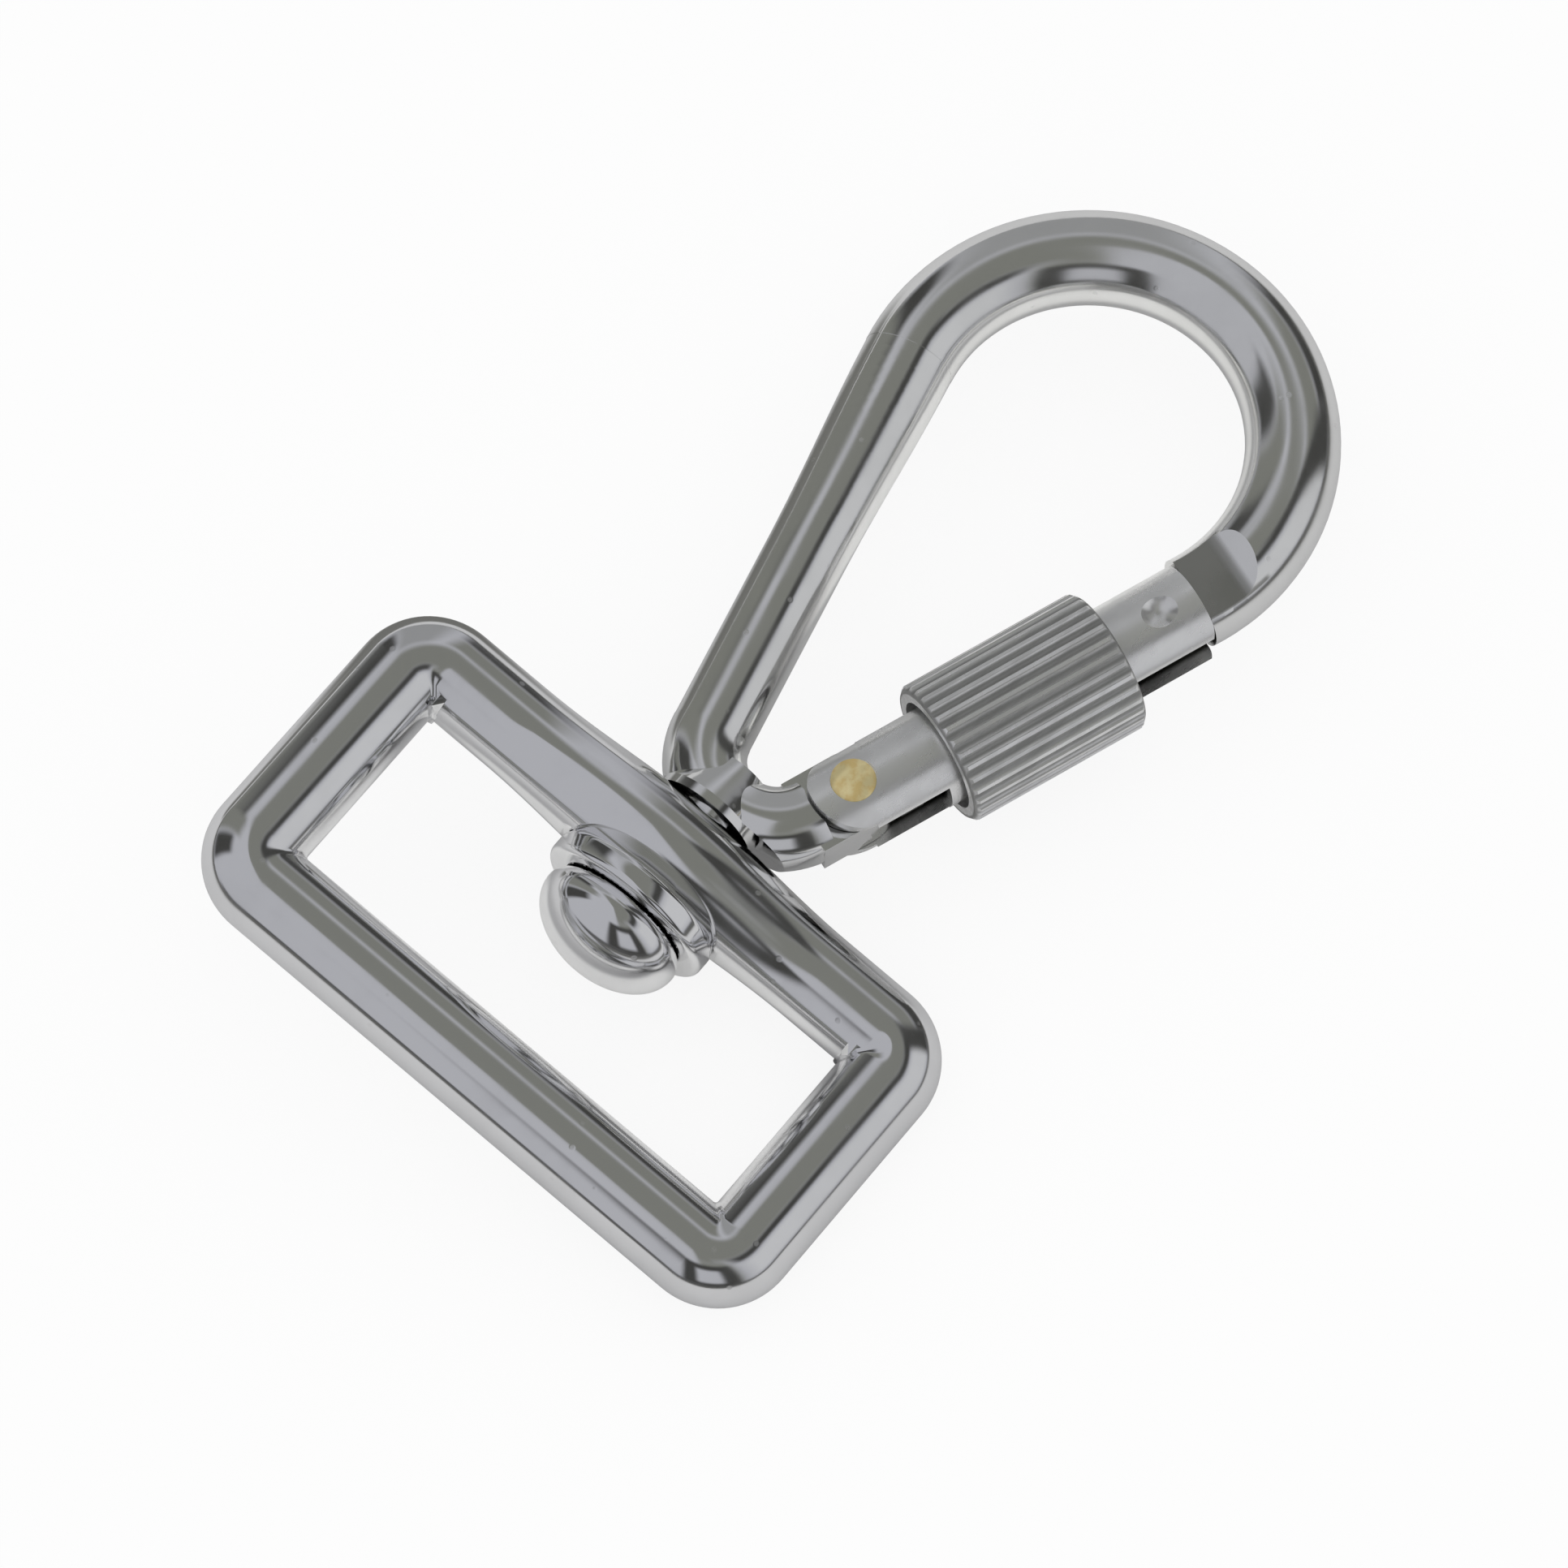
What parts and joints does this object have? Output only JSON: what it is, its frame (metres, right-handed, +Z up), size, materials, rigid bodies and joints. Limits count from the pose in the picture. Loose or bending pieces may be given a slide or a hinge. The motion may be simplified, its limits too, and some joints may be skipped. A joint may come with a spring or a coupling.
{
  "type": "swivel snap hook",
  "caption": "Polished metal snap hook with a spring gate and a locking sleeve, swivelling on a rectangular loop for flat webbing.",
  "frame": {"origin": "in the middle of the webbing slot, half a millimetre beside the swivel axis", "axes": "+X parallel to the swivel axis, towards the hook, +Y towards the spine of the hook, +Z up, square to the hook's plane"},
  "size_m": [0.0872, 0.0512, 0.0156],
  "materials": {
    "polished_loop": "polished bright plating",
    "polished_small": "polished bright plating",
    "polished_hook": "polished bright plating",
    "polished_gate": "polished bright plating with a faint drawn grain",
    "grooved_sleeve": "plated, straight grooves all round",
    "pin_brass": "hammered rivet heads",
    "spring_steel": "plain drawn wire and turned steel"
  },
  "bodies": {
    "hook": {"hook_body": "polished_hook", "swivel_stud": "polished_small"},
    "loop": {"strap_loop": "polished_loop", "swivel_washer": "polished_small"},
    "gate": {"gate": "polished_gate", "gate_pin": "pin_brass", "gate_spring": "spring_steel"},
    "sleeve": {"lock_sleeve": "grooved_sleeve"},
    "plunger": {"spring_plunger": "spring_steel"}
  },
  "joints": [
    {"name": "swivel", "type": "hinge", "parent": "hook", "child": "loop", "pos_m": [0.0105, -0.0005, 0], "axis": [1, 0, 0], "continuous": true},
    {"name": "gate_hinge", "type": "hinge", "parent": "hook", "child": "gate", "pos_m": [0.02218, -0.00778, 0], "axis": [0, 0, 1], "range_deg": [0, 35], "stiffness_Nm_per_rad": 0.01, "springref_deg": -34.38},
    {"name": "sleeve_slide", "type": "slide", "parent": "gate", "child": "sleeve", "axis": [0.9397, -0.342, 0], "range_m": [-0.0033, 0.0095]},
    {"name": "plunger_slide", "type": "slide", "parent": "gate", "child": "plunger", "axis": [0.9397, -0.342, 0], "range_m": [0, 0.0009], "deforming": ["gate_spring"]}
  ],
  "couplings": [
    {"joint": "plunger_slide", "follows": "gate_hinge", "m_per_rad": 0.0014}
  ]
}
